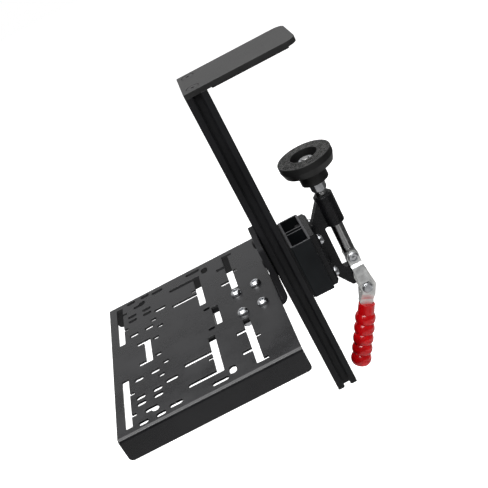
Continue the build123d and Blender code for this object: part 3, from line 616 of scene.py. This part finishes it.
def floor_material():
    """Pale matt floor, white to the camera; glossy pieces see it lit only in front of them."""
    white_lift, plain_glow, middle_glow = 0.8, 0.08, 0.6
    near_start, near_full = -1.9, -0.7
    middle_from, middle_to, middle_soft = -0.5, 0.12, 0.06
    strip_from, strip_to, strip_soft = 0.22, 0.5, 0.05
    mat, tree, shader = new_material("floor_white")
    shader.inputs["Roughness"].default_value = 0.9
    shader.inputs["Emission Color"].default_value = (1, 1, 1, 1)
    path = tree.nodes.new("ShaderNodeLightPath")
    direct = combine(tree, "MULTIPLY", path.outputs["Is Camera Ray"], white_lift)
    bounced = reflected(tree, path)
    place = tree.nodes.new("ShaderNodeSeparateXYZ")
    tree.links.new(object_coords(tree), place.inputs["Vector"])
    near = spread(tree, place.outputs["Y"], 0, 1, near_start, near_full)
    middle_band = band(tree, place.outputs["X"], middle_from, middle_to, middle_soft)
    wide = combine(tree, "MULTIPLY", middle_band, middle_glow)
    strip = band(tree, place.outputs["X"], strip_from, strip_to, strip_soft)
    lit = combine(tree, "MULTIPLY", near, combine(tree, "ADD", wide, strip))
    tone = blend_colors(tree, bounced, FLOOR_GREY, (0, 0, 0))
    tree.links.new(tone, shader.inputs["Base Color"])
    bounced = combine(tree, "MULTIPLY", bounced, combine(tree, "ADD", lit, plain_glow))
    tree.links.new(combine(tree, "MAXIMUM", direct, bounced), shader.inputs["Emission Strength"])
    return mat


build = bmesh.new()
for x, y in ((-1, -1), (1, -1), (1, 1), (-1, 1)):
    build.verts.new((x * FLOOR_REACH, y * FLOOR_REACH, FLOOR_Z))
build.faces.new(build.verts)
floor_mesh = bpy.data.meshes.new("studio_floor")
build.to_mesh(floor_mesh)
build.free()
floor_mesh.materials.append(floor_material())
floor = bpy.data.objects.new("studio_floor", floor_mesh)
bpy.context.scene.collection.objects.link(floor)
floor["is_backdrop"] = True


def studio_world():
    """Soft light all round; the camera sees white, glossy pieces see a backdrop and a ceiling."""
    around_glow, ceiling_glow = 0.3, 4.0
    world = bpy.data.worlds.new("studio")
    world.use_nodes = True
    tree = world.node_tree
    tree.nodes.clear()
    out = tree.nodes.new("ShaderNodeOutputWorld")
    around = tree.nodes.new("ShaderNodeBackground")
    seen = tree.nodes.new("ShaderNodeBackground")
    choose = tree.nodes.new("ShaderNodeMixShader")
    path = tree.nodes.new("ShaderNodeLightPath")
    around.inputs["Color"].default_value = (1, 1, 1, 1)
    around.inputs["Strength"].default_value = around_glow
    seen.inputs["Color"].default_value = (1, 1, 1, 1)
    direction = tree.nodes.new("ShaderNodeTexCoord")
    split = tree.nodes.new("ShaderNodeSeparateXYZ")
    tree.links.new(direction.outputs["Generated"], split.inputs["Vector"])
    # the backdrop behind the mount brightens up to mid height and fades above it
    rise = spread(tree, split.outputs["Z"], 0.28, 1.12, 0.2, 0.4)
    fall = spread(tree, split.outputs["Z"], 0, 1.1, 0.42, 0.54)
    behind = spread(tree, split.outputs["Y"], 0.15, 1, -0.2, 0.3)
    slope = combine(tree, "MULTIPLY", combine(tree, "SUBTRACT", rise, fall), behind)
    overhead = spread(tree, split.outputs["Z"], 0, ceiling_glow, 0.8, 0.95)
    sky = combine(tree, "ADD", slope, overhead)
    camera_ray = path.outputs["Is Camera Ray"]
    tree.links.new(combine(tree, "MAXIMUM", camera_ray, sky), seen.inputs["Strength"])
    mirrored = reflected(tree, path)
    tree.links.new(combine(tree, "MAXIMUM", camera_ray, mirrored), choose.inputs["Fac"])
    tree.links.new(around.outputs["Background"], choose.inputs[1])
    tree.links.new(seen.outputs["Background"], choose.inputs[2])
    tree.links.new(choose.outputs["Shader"], out.inputs["Surface"])
    return world


bpy.context.scene.world = studio_world()


def softbox(name, place, width, height, watts):
    """Rectangular area lamp pointed at the middle of the mount."""
    data = bpy.data.lights.new(name, "AREA")
    data.shape = "RECTANGLE"
    data.size = width
    data.size_y = height
    data.energy = watts
    lamp = bpy.data.objects.new(name, data)
    bpy.context.scene.collection.objects.link(lamp)
    lamp.location = place
    lamp.rotation_mode = "QUATERNION"
    aim = (cad_low + cad_high) / 2
    lamp.rotation_quaternion = (aim - Vector(place)).to_track_quat("-Z", "Y")


softbox("softbox_top", (-0.1, 0.6, 1.2), 1.6, 1.0, 17)
softbox("strip_front", (-0.32, -0.85, 0.85), 1.2, 0.3, 14)
softbox("softbox_left", (-1.3, -0.9, 0.6), 0.9, 1.2, 1.5)
softbox("softbox_right", (1.3, -0.6, 0.9), 0.8, 1.0, 3)

# Camera
# the photograph looks down on the part with the camera rolled, so its upright leans
CAMERA_AT = Vector((-0.0422, -0.74755, 0.19772))
CAMERA_YAW = math.radians(-2.52)
CAMERA_PITCH = math.radians(25.09)
CAMERA_ROLL = math.radians(28.43)
PHOTO_WIDTH = 488
FOCAL_PX = 892.16
SENSOR_WIDTH = 36

forward = Vector((
    math.sin(CAMERA_YAW) * math.cos(CAMERA_PITCH),
    math.cos(CAMERA_YAW) * math.cos(CAMERA_PITCH),
    -math.sin(CAMERA_PITCH),
))
level_right = Vector((math.cos(CAMERA_YAW), -math.sin(CAMERA_YAW), 0))
level_up = level_right.cross(forward)
right = math.cos(CAMERA_ROLL) * level_right - math.sin(CAMERA_ROLL) * level_up
up = math.sin(CAMERA_ROLL) * level_right + math.cos(CAMERA_ROLL) * level_up
camera_data = bpy.data.cameras.new("camera")
camera_data.sensor_width = SENSOR_WIDTH
camera_data.lens = FOCAL_PX / PHOTO_WIDTH * SENSOR_WIDTH
camera_data.clip_start = 0.01
camera_data.clip_end = 50
camera = bpy.data.objects.new("camera", camera_data)
bpy.context.scene.collection.objects.link(camera)
camera.matrix_world = Matrix((
    (right.x, up.x, -forward.x, CAMERA_AT.x),
    (right.y, up.y, -forward.y, CAMERA_AT.y),
    (right.z, up.z, -forward.z, CAMERA_AT.z),
    (0, 0, 0, 1),
))
bpy.context.scene.camera = camera
bpy.context.scene.view_settings.view_transform = "Standard"

low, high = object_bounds()
